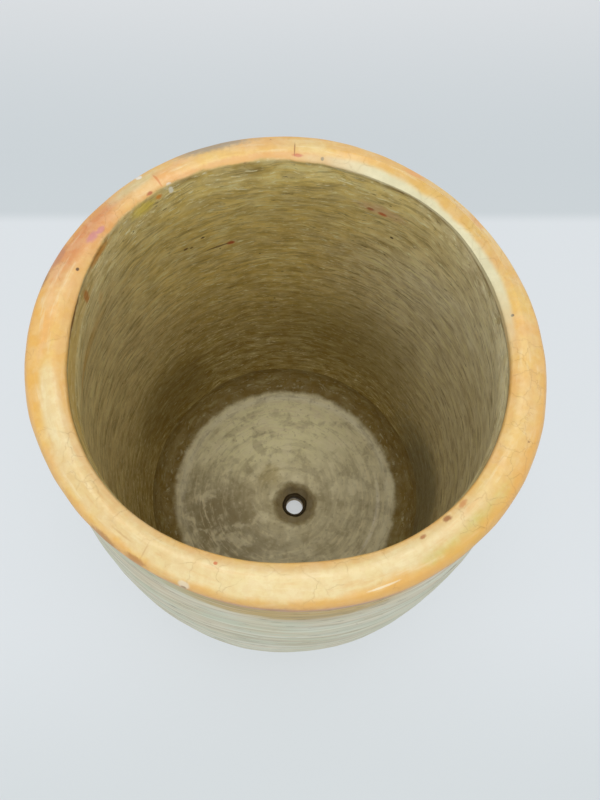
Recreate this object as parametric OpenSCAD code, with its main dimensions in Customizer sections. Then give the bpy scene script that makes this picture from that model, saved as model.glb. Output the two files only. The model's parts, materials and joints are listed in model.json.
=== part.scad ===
// Hand-built ceramic crock with a drain hole in its floor.
// It is one fired vessel, drawn as the four clay members that the potter joins: a floor slab, a barrel
// wall that laps over the slab's edge, a coil pressed into the corner inside, and a rolled rim.
// Millimetres, +Z up. The origin is the centre of the underside.

/* [Body] */
// Height over everything, from the underside to the top of the rim
pot_h = 350; // [270:5:430]
// Outside diameter at the belly, the widest circle
belly_d = 284; // [264:2:350]
// Height of the belly above the underside
belly_h = 140; // [100:5:180]
// Outside diameter at the neck, just under the rim
neck_d = 243; // [200:1:260]
// Outside diameter of the barrel where it reaches the ground
base_d = 260; // [210:2:262]
// Thickness of the barrel wall
wall_t = 14; // [9:0.5:18]

/* [Floor] */
// Thickness of the floor slab
slab_t = 20; // [14:1:30]
// Bevel round the foot, where the slab meets the ground
foot_bevel = 4; // [1:0.5:6]
// Height at which the seam between the slab and the wall shows outside
foot_seam_h = 8; // [7:0.5:13]
// Height and width of the coil pressed into the inside corner
corner_r = 18; // [8:1:24]
// Thickness left at the coil's two smeared edges
coil_edge = 1.5; // [1:0.5:3]

/* [Rim] */
// How far the rim stands out past the neck
rim_overhang = 3.5; // [1:0.5:8]
// Height of the rim's outer face, from its lip to the top
rim_h = 22; // [16:1:36]
// How far the wall's top edge runs up inside the rim
rim_lap = 6; // [2:1:10]
// Rounding of the rim's outer shoulder
rim_outer_r = 8; // [4:0.5:8]
// Rounding of the rim's inner edge
rim_inner_r = 4; // [1:0.5:6]

/* [Drain hole] */
// Diameter of the straight hole through the slab
drain_d = 16; // [8:0.5:24]
// Diameter of the hole's flared mouth, on the inside of the pot
mouth_d = 25; // [24.5:0.5:33]
// Depth of the flared mouth
mouth_depth = 8; // [4.5:0.5:10]
// Diameter of the shallow chipped crater round the mouth
crater_d = 43; // [34:1:56]
// Depth of the crater
crater_depth = 3; // [1:0.5:4]
// How far the hole stands to the right of the floor's centre
drain_x = 9; // [-15:1:15]
// How far the hole stands behind the floor's centre
drain_y = -10; // [-15:1:15]

/* [Hidden] */

ROUND_FN = 180;      // steps round the pot
COVE_FN = 48;        // steps round the circle that hollows the corner coil
LINE_STEPS = 12;     // steps up each half of the barrel, below and above the belly
EDGE_STEPS = 10;     // steps in a quarter round of the rim's section
CUT_PAST = 5;        // how far a cutter runs past what it cuts

glaze_orange = [0.90, 0.68, 0.38];
slip_pale = [0.78, 0.77, 0.68];
clay_grey = [0.50, 0.46, 0.34];

belly_r = belly_d / 2;
neck_r = neck_d / 2;
neck_h = pot_h - rim_h;
base_r = base_d / 2;

// The barrel's line is two arcs that meet at the belly with a common upright tangent. An arc that
// falls back by "drop" over a height of "rise" has this radius.
function arc_radius(rise, drop) = (rise * rise + drop * drop) / (2 * drop);
upper_r = arc_radius(neck_h - belly_h, belly_r - neck_r);
lower_r = arc_radius(belly_h, belly_r - base_r);

// Radius of the barrel's outer face at height z
function barrel_r(z) =
    let (r = z > belly_h ? upper_r : lower_r)
    belly_r - r + sqrt(pow(r, 2) - pow(z - belly_h, 2));

// Points up the barrel's outer face, or up its inner face with inset = wall_t, from one height to
// the neck
function barrel_line(from, inset = 0) = [
    for (i = [0:LINE_STEPS - 1]) let (z = from + (belly_h - from) * i / LINE_STEPS)
        [barrel_r(z) - inset, z],
    for (i = [0:LINE_STEPS]) let (z = belly_h + (neck_h - belly_h) * i / LINE_STEPS)
        [barrel_r(z) - inset, z],
];

// The rim's inner face stands plumb above the wall's inner face at the neck.
rim_in_r = neck_r - wall_t;
rim_out_r = neck_r + rim_overhang;

// Points of an arc about a centre, from one angle to another
function arc(centre, r, from, to) =
    [for (i = [0:EDGE_STEPS]) let (a = from + (to - from) * i / EDGE_STEPS)
        centre + r * [cos(a), sin(a)]];

// Up the wall's inner face, from the slab to the neck. The coil is fitted to the same line.
inner_line = barrel_line(slab_t, wall_t);

// The hole: a straight bore, a flared mouth above it and a shallow chipped crater round that
module drain_cutter() {
    translate([drain_x, drain_y, 0]) {
        translate([0, 0, -CUT_PAST])
            cylinder(d = drain_d, h = slab_t + 2 * CUT_PAST, $fn = ROUND_FN);
        translate([0, 0, slab_t - mouth_depth])
            cylinder(d1 = drain_d, d2 = mouth_d, h = mouth_depth, $fn = ROUND_FN);
        translate([0, 0, slab_t - crater_depth])
            cylinder(d1 = mouth_d, d2 = crater_d, h = crater_depth, $fn = ROUND_FN);
    }
}

module floor_slab() {
    color(clay_grey)
    difference() {
        rotate_extrude($fn = ROUND_FN)
            polygon([
                [0, 0],
                [base_r - foot_bevel, 0],
                [barrel_r(foot_bevel), foot_bevel],
                [barrel_r(foot_seam_h), foot_seam_h],
                [barrel_r(slab_t) - wall_t, slab_t],
                [0, slab_t],
            ]);
        drain_cutter();
    }
}

module wall() {
    color(slip_pale)
    rotate_extrude($fn = ROUND_FN)
        polygon(concat(
            barrel_line(foot_seam_h),
            [[rim_in_r, neck_h + rim_lap]],
            [for (i = [len(inner_line) - 1:-1:0]) inner_line[i]]
        ));
}

// The coil's hollow is a circle that stays coil_edge clear of the slab and of the leaning wall, so its
// centre stands back from the wall by corner_r across the lean.
module corner_coil() {
    top_h = slab_t + corner_r;
    lean = atan((barrel_r(top_h) - barrel_r(slab_t)) / corner_r);
    toe_r = barrel_r(top_h) - wall_t - corner_r / cos(lean);
    color(clay_grey)
    rotate_extrude($fn = ROUND_FN)
        difference() {
            intersection() {
                polygon(concat([[0, slab_t]], inner_line, [[0, neck_h]]));
                translate([toe_r, slab_t])
                    square([belly_r, corner_r]);
            }
            translate([toe_r, top_h])
                circle(r = corner_r - coil_edge, $fn = COVE_FN);
        }
}

module rim() {
    lip_r = rim_overhang / 2;
    color(glaze_orange)
    rotate_extrude($fn = ROUND_FN)
        polygon(concat(
            [[rim_in_r, neck_h + rim_lap]],
            [[neck_r, neck_h]],
            arc([rim_out_r - lip_r, neck_h + lip_r], lip_r, -90, 0),
            arc([rim_out_r - rim_outer_r, pot_h - rim_outer_r], rim_outer_r, 0, 90),
            arc([rim_in_r + rim_inner_r, pot_h - rim_inner_r], rim_inner_r, 90, 180)
        ));
}

floor_slab();
wall();
corner_coil();
rim();
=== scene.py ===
# %% [markdown]
# # A hand-built ceramic crock
#
# This lesson finishes a tall, barrel-shaped crock of fired clay: a burnished ochre rim, a raw clay
# inside full of scraped lines, a pale slip outside, and a drain hole that was knocked through the
# floor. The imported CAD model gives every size, so the first step is to load it as a fixed frame.
# Each clay member is then modelled again with the small faults that a potter's hands leave.

# %% Load the frame
import json
from math import atan2, cos, hypot, pi, radians, sin, tan

import bmesh
import bpy
from mathutils import Matrix, Vector, noise


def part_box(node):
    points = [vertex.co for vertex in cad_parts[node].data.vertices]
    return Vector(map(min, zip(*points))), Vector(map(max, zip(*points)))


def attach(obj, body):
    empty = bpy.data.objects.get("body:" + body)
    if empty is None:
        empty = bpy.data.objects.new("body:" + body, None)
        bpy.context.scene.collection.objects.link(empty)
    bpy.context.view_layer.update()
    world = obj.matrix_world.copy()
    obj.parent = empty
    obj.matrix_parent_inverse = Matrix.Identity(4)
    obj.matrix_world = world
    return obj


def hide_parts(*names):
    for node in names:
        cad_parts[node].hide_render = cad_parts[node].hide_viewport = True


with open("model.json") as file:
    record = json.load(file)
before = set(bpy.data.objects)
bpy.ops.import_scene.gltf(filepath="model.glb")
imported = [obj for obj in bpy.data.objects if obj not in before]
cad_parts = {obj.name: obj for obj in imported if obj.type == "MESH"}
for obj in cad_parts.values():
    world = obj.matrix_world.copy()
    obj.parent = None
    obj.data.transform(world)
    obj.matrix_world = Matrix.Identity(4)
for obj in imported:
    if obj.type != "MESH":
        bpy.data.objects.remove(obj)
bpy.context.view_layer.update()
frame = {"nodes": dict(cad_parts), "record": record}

# %% [markdown]
# ## Read the sizes off the frame
#
# Every piece has to meet its neighbours, so no size is typed in twice. The rim, the wall, the corner
# coil and the floor slab are all turned round the Z axis, and a corner of a turned section shows up in
# the CAD mesh as a ring of vertices. Grouping a node's vertices by height gives back its section. The
# outer face's vertices have normals that point away from the axis, and the inner face's point to it.

# %% Lines of the turned members
MM = 0.001


def turned_line(node, side):
    """(height, radius) pairs of a turned CAD node's outer face (side 1) or inner face (side -1)."""
    rings = {}
    for vertex in frame["nodes"][node].data.vertices:
        across = Vector((vertex.co.x, vertex.co.y, 0))
        if across.dot(vertex.normal) * side > 0:
            height = round(vertex.co.z, 5)
            rings.setdefault(height, across.length)
    return sorted(rings.items())


def radius_at(line, height):
    """Radius of a turned line at a height, worked out between its two nearest rings."""
    for (low, low_radius), (high, high_radius) in zip(line, line[1:]):
        if height <= high:
            share = (height - low) / (high - low)
            return low_radius + (high_radius - low_radius) * max(share, 0.0)
    return line[-1][1]


RIM_LOW, RIM_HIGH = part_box("rim")
WALL_LOW, WALL_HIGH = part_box("wall")
SLAB_LOW, SLAB_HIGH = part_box("floor_slab")
COIL_LOW, COIL_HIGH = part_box("corner_coil")

WALL_OUTSIDE = [ring for ring in turned_line("wall", 1) if ring[0] <= RIM_LOW.z + 0.1 * MM]
WALL_INSIDE = [ring for ring in turned_line("wall", -1) if ring[0] >= SLAB_HIGH.z - 0.1 * MM]
RIM_RADIUS = RIM_HIGH.x
MOUTH_RADIUS = min(radius for height, radius in turned_line("rim", -1))
NECK_RADIUS = radius_at(WALL_OUTSIDE, RIM_LOW.z)
POT_TOP = RIM_HIGH.z
SLAB_TOP = SLAB_HIGH.z
COIL_TOE = min(radius for height, radius in turned_line("corner_coil", -1))
print("rim radius", round(RIM_RADIUS, 4), "mouth radius", round(MOUTH_RADIUS, 4))
print("neck radius", round(NECK_RADIUS, 4), "coil toe radius", round(COIL_TOE, 4))

# %% The drain hole, from the record's mount
DRAIN = next(mount for mount in frame["record"]["mounts"] if mount["name"] == "drain_hole")
DRAIN_X, DRAIN_Y = DRAIN["pos_m"][:2]
DRAIN_RADIUS = DRAIN["dims"]["r_mm"] * MM
print("drain hole radius", DRAIN_RADIUS, "at", DRAIN_X, DRAIN_Y)

# %% [markdown]
# ## Camera
#
# The crock is seen from above and in front, close enough to look down past the near rim to the floor.
# A wide lens this near makes the mouth large and the floor small. The camera's place is given from the
# rim, because the rim is what the eye goes to: a little in front of it and two rim radii above it.

# %% Camera
RIM_LEVEL = POT_TOP - 8 * MM
CAMERA_BACK = 1.126 * RIM_RADIUS
CAMERA_UP = 2.267 * RIM_RADIUS
LENS_MM = 29.25
CAMERA_TURN = radians(-3.20)
CAMERA_TILT = radians(21.31)
CAMERA_ROLL = radians(3.94)
SENSOR_MM = 36.0

camera_data = bpy.data.cameras.new("camera")
camera_data.lens = LENS_MM
camera_data.sensor_width = SENSOR_MM
camera = bpy.data.objects.new("camera", camera_data)
bpy.context.scene.collection.objects.link(camera)
turn = Matrix.Rotation(CAMERA_TURN, 4, "Z")
tilt = Matrix.Rotation(CAMERA_TILT, 4, "X")
roll = Matrix.Rotation(CAMERA_ROLL, 4, "Z")
camera.matrix_world = (
    Matrix.Translation((0, -CAMERA_BACK, RIM_LEVEL + CAMERA_UP)) @ turn @ tilt @ roll
)
bpy.context.scene.camera = camera
bpy.context.scene.view_settings.view_transform = "Standard"
print("camera stands at", [round(part, 3) for part in camera.matrix_world.translation])

# %% [markdown]
# ## Node helpers
#
# Materials and the stage are built from nodes, and a few helpers keep that readable. `put` adds a node
# and fills its sockets, where a socket may take a number, a colour or another node's output. The other
# helpers wrap the nodes used most: arithmetic, a soft threshold, noise and a mix of two colours. A
# finish is built up in coats, so two of them lay a whole list of coats, one over the other.

# %% Node helpers
def paint(red, green, blue):
    """A colour given in display values from 0 to 255, as the linear colour that nodes take."""
    return tuple(
        (part / 255 / 12.92) if part <= 10 else ((part / 255 + 0.055) / 1.055) ** 2.4
        for part in (red, green, blue)
    ) + (1.0,)


def put(tree, kind, sockets=None, **settings):
    """Adds a node, sets its properties, and fills or links its input sockets."""
    made = tree.nodes.new(kind)
    for name, value in settings.items():
        setattr(made, name, value)
    for key, value in (sockets or {}).items():
        if isinstance(value, bpy.types.NodeSocket):
            tree.links.new(value, made.inputs[key])
        else:
            made.inputs[key].default_value = value
    return made


def reckon(tree, operation, first, second=0.0, third=0.0):
    """One Math node's result."""
    return put(tree, "ShaderNodeMath", {0: first, 1: second, 2: third}, operation=operation).outputs[0]


def soft_step(tree, value, low, high, bottom=0.0, top=1.0):
    """Runs smoothly from bottom to top as value goes from low to high."""
    sockets = {"Value": value, "From Min": low, "From Max": high, "To Min": bottom, "To Max": top}
    made = put(tree, "ShaderNodeMapRange", sockets, interpolation_type="SMOOTHSTEP")
    return made.outputs["Result"]


def grain(tree, vector, scale, detail=3.0, roughness=0.55, distortion=0.0):
    """Fractal noise between 0 and 1, where scale is how many lumps fit in a metre."""
    return put(tree, "ShaderNodeTexNoise", {
        "Vector": vector, "Scale": scale, "Detail": detail, "Roughness": roughness, "Distortion": distortion,
    }).outputs["Fac"]


def on_vectors(tree, operation, first, second):
    """One Vector Math node's result, part by part."""
    return put(tree, "ShaderNodeVectorMath", {0: first, 1: second}, operation=operation).outputs[0]


def add_up(tree, shares):
    """The sum of values, each times its share."""
    total = 0.0
    for value, share in shares:
        total = reckon(tree, "MULTIPLY_ADD", value, share, total)
    return total


def stretch(tree, vector, across, up):
    """The vector with X and Y scaled by across and Z by up, which draws noise out into lines."""
    return on_vectors(tree, "MULTIPLY", vector, (across, across, up))


def round_the_axis(tree, spot):
    """A point's X, Y and Z, and its reach from the axis."""
    parts = put(tree, "ShaderNodeSeparateXYZ", {0: spot}).outputs
    flat = put(tree, "ShaderNodeCombineXYZ", {"X": parts["X"], "Y": parts["Y"]}).outputs[0]
    return parts, put(tree, "ShaderNodeVectorMath", {0: flat}, operation="LENGTH").outputs["Value"]


def ring_point(tree, parts, reach):
    """The point with its reach in place of its height, which bends scraped lines into rings."""
    return put(tree, "ShaderNodeCombineXYZ", {"X": parts["X"], "Y": parts["Y"], "Z": reach}).outputs[0]


def blend_paint(tree, mask, under, over):
    """Lays the colour over on the colour under where mask is 1."""
    made = put(tree, "ShaderNodeMix", data_type="RGBA")
    for key, value in ((0, mask), (6, under), (7, over)):
        if isinstance(value, bpy.types.NodeSocket):
            tree.links.new(value, made.inputs[key])
        else:
            made.inputs[key].default_value = value
    return made.outputs[2]


def lay_masks(tree, colour, masks):
    """Paints through a list of masks: mask, strength, colour."""
    for mask, strength, over in masks:
        colour = blend_paint(tree, reckon(tree, "MULTIPLY", mask, strength), colour, paint(*over))
    return colour


def lay_bands(tree, colour, bands):
    """Paints where a value passes a limit: value, where it starts, where it is full, strength, colour."""
    for value, start, full, strength, over in bands:
        mask = soft_step(tree, value, start, full, 0.0, strength)
        colour = blend_paint(tree, mask, colour, paint(*over))
    return colour


print("node helpers ready")

# %% [markdown]
# ## Stage and light
#
# The floor is one large pale sheet. It glows a little, as paper on a light table does, so the crock
# casts only a faint shadow and the drain hole shows bright. Behind the crock the sheet turns greyer
# along a line that is level in the picture, like the foot of a backdrop. The line is found from the
# camera: it is where a ray a little above the view's centre line, swept sideways, meets the floor.

# %% Stage
STAGE_SIDE = 14.0
BACKDROP_RISE = radians(15.35)
SHEET_GLOW = 0.52
SKY_STRENGTH = 0.72

ray = camera.matrix_world.to_3x3() @ Vector((0, tan(BACKDROP_RISE), -1))
sideways = camera.matrix_world.to_3x3() @ Vector((1, 0, 0))
eye = camera.matrix_world.translation
backdrop_foot = eye - ray * (eye.z / ray.z)
along_foot = (sideways * ray.z - ray * sideways.z).normalized()
away = Vector((along_foot.y, -along_foot.x, 0))
if away.y < 0:
    away.negate()

floor_mesh = bmesh.new()
bmesh.ops.create_grid(floor_mesh, x_segments=1, y_segments=1, size=STAGE_SIDE / 2)
floor_data = bpy.data.meshes.new("stage_floor")
floor_mesh.to_mesh(floor_data)
floor_mesh.free()
stage_floor = bpy.data.objects.new("stage_floor", floor_data)
bpy.context.scene.collection.objects.link(stage_floor)

sheet = bpy.data.materials.new("pale_sheet")
sheet.use_nodes = True
tree = sheet.node_tree
tree.nodes.clear()
spot = put(tree, "ShaderNodeTexCoord").outputs["Object"]
beyond = put(tree, "ShaderNodeVectorMath", {0: spot, 1: away}, operation="DOT_PRODUCT").outputs["Value"]
beyond = reckon(tree, "SUBTRACT", beyond, backdrop_foot.dot(away))
dim = soft_step(tree, beyond, -0.004, 0.016)
lift = soft_step(tree, beyond, 0.06, 0.60)
tone = blend_paint(tree, dim, paint(225, 229, 232), paint(208, 214, 217))
tone = blend_paint(tree, lift, tone, paint(235, 235, 236))
near = soft_step(tree, beyond, -0.42, -0.60)
tone = blend_paint(tree, near, tone, paint(216, 221, 223))
shader = put(tree, "ShaderNodeBsdfPrincipled", {"Roughness": 0.9, "Specular IOR Level": 0.1})
tree.links.new(blend_paint(tree, 0.5, tone, (0, 0, 0, 1)), shader.inputs["Base Color"])
tree.links.new(tone, shader.inputs["Emission Color"])
shader.inputs["Emission Strength"].default_value = SHEET_GLOW
put(tree, "ShaderNodeOutputMaterial", {"Surface": shader.outputs[0]})
stage_floor.data.materials.append(sheet)
print("backdrop foot is", round(backdrop_foot.y, 3), "m behind the crock's axis")

# %% Lights
def softbox(name, place, aim, size, watts, tint):
    """A square area light at place that faces the point aim."""
    lamp = bpy.data.lights.new(name, "AREA")
    lamp.size = size
    lamp.energy = watts
    lamp.color = tint
    holder = bpy.data.objects.new(name, lamp)
    bpy.context.scene.collection.objects.link(holder)
    facing = (Vector(aim) - Vector(place)).to_track_quat("-Z", "Y").to_matrix().to_4x4()
    holder.matrix_world = Matrix.Translation(place) @ facing


world = bpy.data.worlds.new("studio")
bpy.context.scene.world = world
world.use_nodes = True
world.node_tree.nodes["Background"].inputs["Color"].default_value = paint(236, 241, 246)
world.node_tree.nodes["Background"].inputs["Strength"].default_value = SKY_STRENGTH
RIM_CENTRE = (0, 0, POT_TOP)
softbox("ceiling_light", (0.0, -0.05, 1.90), RIM_CENTRE, 1.1, 10, (1.0, 0.985, 0.96))
softbox("window_light", (-0.1, -1.2, 1.55), RIM_CENTRE, 1.1, 4, (0.95, 0.98, 1.0))

# %% [markdown]
# ## How hands bend a round pot
#
# The CAD model is truly round, but this crock was built by hand: its rim is a little oval and
# three-sided, its mouth is off centre and four-sided, one side stands higher, and the barrel carries
# soft flats. These are waves in round numbers, a millimetre or two each. One function
# holds all of that, and every piece goes through it, so neighbours stay together at their seams. Slow
# waves come from a few cosines round the pot, and the lumps from smooth noise in space, which has no
# seam. Low down, where the barrel is widest, the wall is drawn in a little first, so that the waves
# leave it inside the CAD barrel and the crock keeps its measured size.

# %% The hand-made shape
OUTER_WAVES = ((2, 1.8 * MM, -40), (3, 0.9 * MM, -40))
INNER_WAVES = ((0, -0.8 * MM, 0), (1, 1.2 * MM, -10), (4, 1.5 * MM, -45))
TOP_WAVES = ((1, 0.25 * MM, 60), (2, 0.30 * MM, 20), (5, 0.10 * MM, 200))
DENT_SIZE = 45 * MM
DENT_DEPTH = 0.5 * MM
DAB_SIZE = 13 * MM
DAB_DEPTH = 0.22 * MM
WALL_SLACK = 1.2 * MM


def wave_sum(waves, around):
    """Adds up cosine waves, each given as how many go round, its height and where it peaks."""
    return sum(height * cos(count * (around - radians(peak))) for count, height, peak in waves)


def lump(point, size, seed=0.0):
    """Smooth noise from about -1 to 1 with lumps of a given size."""
    return noise.noise(point / size + Vector((seed, seed, seed)))


def ease(value, low, high):
    """Runs smoothly from 0 to 1 as value goes from low to high."""
    share = min(1.0, max(0.0, (value - low) / (high - low)))
    return share * share * (3 - 2 * share)


def bend_by_hand(mesh):
    """Moves a turned mesh to where hands would have left it."""
    for vertex in mesh.verts:
        spot = vertex.co.copy()
        out = hypot(spot.x, spot.y)
        around = atan2(spot.y, spot.x)
        near_top = ease(spot.z, 0.55 * POT_TOP, 0.93 * POT_TOP)
        outer = ease(out, MOUTH_RADIUS + 3 * MM, RIM_RADIUS - 3 * MM)
        wave = wave_sum(OUTER_WAVES, around) * outer + wave_sum(INNER_WAVES, around) * (1 - outer)
        push = wave * (0.4 + 0.6 * near_top) - WALL_SLACK * (1 - near_top)
        push += lump(spot, DENT_SIZE, 3.1) * DENT_DEPTH + lump(spot, DAB_SIZE, 7.7) * DAB_DEPTH
        push *= min(out / COIL_TOE, 1.0) ** 2
        vertex.co.x += push * cos(around)
        vertex.co.y += push * sin(around)
        sink = wave_sum(TOP_WAVES, around) - sum(wave[1] for wave in TOP_WAVES)
        vertex.co.z += sink * near_top**2
    return mesh


print("the rim waves between", round(min(wave_sum(OUTER_WAVES, radians(a)) for a in range(360)) / MM, 1),
      "and", round(max(wave_sum(OUTER_WAVES, radians(a)) for a in range(360)) / MM, 1), "mm")

# %% [markdown]
# ## Turning a section
#
# Rim, wall, coil and slab all start as one closed outline in a plane through the axis. The bmesh spin
# operator turns it. A spin of hundreds of steps gets slower with every step, so the outline is first
# spun through one narrow wedge, and a second spin copies that wedge round the pot. Merging doubles
# then closes every joint between wedges. The outlines come from two helpers, an arc and a line cut
# into even steps, because a surface can only be dented later where it has vertices.

# %% Section helpers
WEDGES = 30
CRISP_ANGLE = 40


def arc_points(centre, radius, start, end, steps):
    """Points on an arc in the (radius, height) plane, from one angle to another in degrees."""
    angles = [radians(start + (end - start) * step / steps) for step in range(steps + 1)]
    return [(centre[0] + radius * cos(a), centre[1] + radius * sin(a)) for a in angles]


def even_points(first, last, steps):
    """Points from first up to but not including last, in even steps."""
    return [tuple(a + (b - a) * step / steps for a, b in zip(first, last)) for step in range(steps)]


def turn_section(outline, steps):
    """Turns a closed outline of (radius, height) points round the Z axis."""
    about = {"cent": (0, 0, 0), "axis": (0, 0, 1), "dvec": (0, 0, 0)}
    wedge = 2 * pi / WEDGES
    mesh = bmesh.new()
    corners = [mesh.verts.new((radius, 0, height)) for radius, height in outline]
    edges = [mesh.edges.new(pair) for pair in zip(corners, corners[1:] + corners[:1])]
    bmesh.ops.spin(mesh, geom=corners + edges, angle=wedge, steps=steps // WEDGES, **about)
    everything = mesh.verts[:] + mesh.edges[:] + mesh.faces[:]
    bmesh.ops.spin(
        mesh, geom=everything, angle=2 * pi - wedge, steps=WEDGES - 1, use_duplicate=True, **about
    )
    bmesh.ops.remove_doubles(mesh, verts=mesh.verts, dist=0.002 * MM)
    bmesh.ops.recalc_face_normals(mesh, faces=mesh.faces)
    return mesh


def finish_piece(mesh, name):
    """Makes a smooth-shaded object of the mesh and prints its size."""
    data = bpy.data.meshes.new(name)
    mesh.to_mesh(data)
    mesh.free()
    data.shade_smooth()
    data.set_sharp_from_angle(angle=radians(CRISP_ANGLE))
    piece = bpy.data.objects.new(name, data)
    bpy.context.scene.collection.objects.link(piece)
    print(name, "has", len(data.polygons), "faces, size", [round(side, 4) for side in piece.dimensions])
    return piece


# %% [markdown]
# ## The rim
#
# The rim is a roll of clay laid on the wall's top edge and burnished with a smooth stone. Its top is a
# broad, gentle dome that drops to a crisp inner edge and rolls over a fuller outer shoulder to a small
# lip. The outline strings five arcs together, and 720 steps round keep the burnished edge smooth. On one
# side the potter scraped the inner edge back with a blade, so vertices there are pressed down to a
# slanting plane that deepens and runs out again along the rim.

# %% Rim outline
CREST = 1.2 * MM
INNER_EDGE = 2.4 * MM
SHOULDER = 8.5 * MM
LIP = 2.2 * MM
dome_start = MOUTH_RADIUS + INNER_EDGE
dome_end = RIM_RADIUS - SHOULDER
dome_half = (dome_end - dome_start) / 2
dome_radius = (dome_half**2 + CREST**2) / (2 * CREST)
dome_lean = atan2(dome_half, dome_radius - CREST) * 180 / pi
dome_level = POT_TOP - CREST
dome_centre = (dome_start + dome_half, POT_TOP - dome_radius)

rim_outline = (
    even_points((MOUTH_RADIUS, WALL_HIGH.z), (MOUTH_RADIUS, dome_level - INNER_EDGE), 10)
    + arc_points((dome_start, dome_level - INNER_EDGE), INNER_EDGE, 180, 90 + dome_lean, 8)
    + arc_points(dome_centre, dome_radius, 90 + dome_lean, 90 - dome_lean, 12)[1:-1]
    + arc_points((dome_end, dome_level - SHOULDER), SHOULDER, 90 - dome_lean, 0, 14)
    + even_points((RIM_RADIUS, dome_level - SHOULDER - 1 * MM), (RIM_RADIUS, RIM_LOW.z + LIP), 8)
    + arc_points((RIM_RADIUS - LIP, RIM_LOW.z + LIP), LIP, 0, -80, 8)
    + even_points((NECK_RADIUS, RIM_LOW.z), (MOUTH_RADIUS, WALL_HIGH.z), 10)
)
RIM_STEPS = 720
rim_mesh = turn_section(rim_outline, RIM_STEPS)

# %% The scraped bevel
BEVEL_MIDDLE = radians(42)
BEVEL_REACH = radians(50)
BEVEL_RADIUS = 115.5 * MM
BEVEL_SLOPE = 0.75


def bevel_share(around):
    """How deep the bevel is at an angle: 1 at its middle and 0 where it runs out."""
    off = abs((around - BEVEL_MIDDLE + pi) % (2 * pi) - pi)
    return 1 - ease(off, 0.35 * BEVEL_REACH, BEVEL_REACH)


for vertex in rim_mesh.verts:
    out = hypot(vertex.co.x, vertex.co.y)
    if out < BEVEL_RADIUS and vertex.co.z > RIM_LEVEL:
        cut = POT_TOP - (BEVEL_RADIUS - out) * BEVEL_SLOPE
        share = bevel_share(atan2(vertex.co.y, vertex.co.x))
        vertex.co.z -= max(0.0, vertex.co.z - cut) * share
bmesh.ops.remove_doubles(rim_mesh, verts=rim_mesh.verts, dist=0.01 * MM)
bend_by_hand(rim_mesh)
rim = finish_piece(rim_mesh, "burnished_rim")

# %% [markdown]
# ## The wall
#
# The wall is a barrel-shaped tube. Its outline runs up the outer face and down the inner face, on the
# lines read off the frame, in steps of under two millimetres. Scraping with a rib as the pot turned
# left shallow rings, which are real ridges here: they catch the light at the silhouette and in the
# finished mesh, while the finest scratches stay in the material.

# %% Wall outline
WALL_STEPS = 88
RING_PITCH = 5.2 * MM
RING_DEPTH = 0.16 * MM
FINGER = 9 * MM


def rings_of(point):
    """Depth of the scraped rings at a point: uneven ridges that fade in and out round the pot."""
    level = Vector((point.x * 9, point.y * 9, point.z / RING_PITCH))
    return noise.noise(level) * RING_DEPTH + noise.noise(level * 2.3) * RING_DEPTH * 0.6


def soft_radius(line, height):
    """Radius of a turned line at a height, averaged over a finger's width so that it has no corner."""
    steps = range(-6, 7)
    return sum(radius_at(line, height + step * FINGER / 6) for step in steps) / len(steps)


def line_points(line, low, high, steps):
    """Points on a turned line from one height up to another, both included."""
    heights = [low + (high - low) * step / steps for step in range(steps + 1)]
    return [(soft_radius(line, height), height) for height in heights]


outer_line = line_points(WALL_OUTSIDE, WALL_LOW.z, RIM_LOW.z, WALL_STEPS)
inner_line = line_points(WALL_INSIDE, SLAB_TOP, WALL_HIGH.z, WALL_STEPS)
wall_outline = outer_line + even_points(outer_line[-1], inner_line[-1], 3)[1:] + inner_line[::-1]
WALL_ROUND = 480
wall_mesh = turn_section(wall_outline, WALL_ROUND)
for vertex in wall_mesh.verts:
    out = hypot(vertex.co.x, vertex.co.y)
    depth = rings_of(vertex.co)
    vertex.co.x += vertex.co.x / out * depth
    vertex.co.y += vertex.co.y / out * depth
bend_by_hand(wall_mesh)
MID_WALL = (radius_at(WALL_OUTSIDE, SLAB_TOP) - radius_at(WALL_INSIDE, SLAB_TOP)) / 2
for face in wall_mesh.faces:
    centre = face.calc_center_median()
    outside_here = radius_at(WALL_OUTSIDE, min(centre.z, RIM_LOW.z))
    face.material_index = 1 if hypot(centre.x, centre.y) < outside_here - MID_WALL else 0
wall = finish_piece(wall_mesh, "barrel_wall")

# %% [markdown]
# ## The corner coil
#
# A roll of clay was pressed into the corner between the floor and the wall and smeared with a fingertip
# all the way round. It leaves a cove: a quarter-round hollow that thins out to nothing on the floor and
# on the wall. Little flats along it are the finger's own strokes.

# %% Corner coil outline
FEATHER = 0.25 * MM
SMEAR_LENGTH = 26 * MM
SMEAR_DEPTH = 0.8 * MM
coil_top_radius = soft_radius(WALL_INSIDE, COIL_HIGH.z)
cove_radius = coil_top_radius - FEATHER - COIL_TOE
coil_outline = (
    arc_points((COIL_TOE, SLAB_TOP + FEATHER + cove_radius), cove_radius, -90, 0, 22)
    + line_points(WALL_INSIDE, SLAB_TOP, COIL_HIGH.z + 1 * MM, 6)[::-1]
    + [(COIL_TOE - 2 * MM, SLAB_TOP - 0.2 * MM)]
)
coil_mesh = turn_section(coil_outline, 420)
for vertex in coil_mesh.verts:
    out = hypot(vertex.co.x, vertex.co.y)
    share = (out - COIL_TOE) / (coil_top_radius - COIL_TOE)
    belly = max(0.0, 4 * share * (1 - share))
    smear = lump(vertex.co, SMEAR_LENGTH, 5.0) * SMEAR_DEPTH * belly
    vertex.co.z += smear * 0.7
    vertex.co.x -= vertex.co.x / out * smear * 0.7
    vertex.co.y -= vertex.co.y / out * smear * 0.7
bend_by_hand(coil_mesh)
coil = finish_piece(coil_mesh, "corner_coil_smeared")

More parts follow.
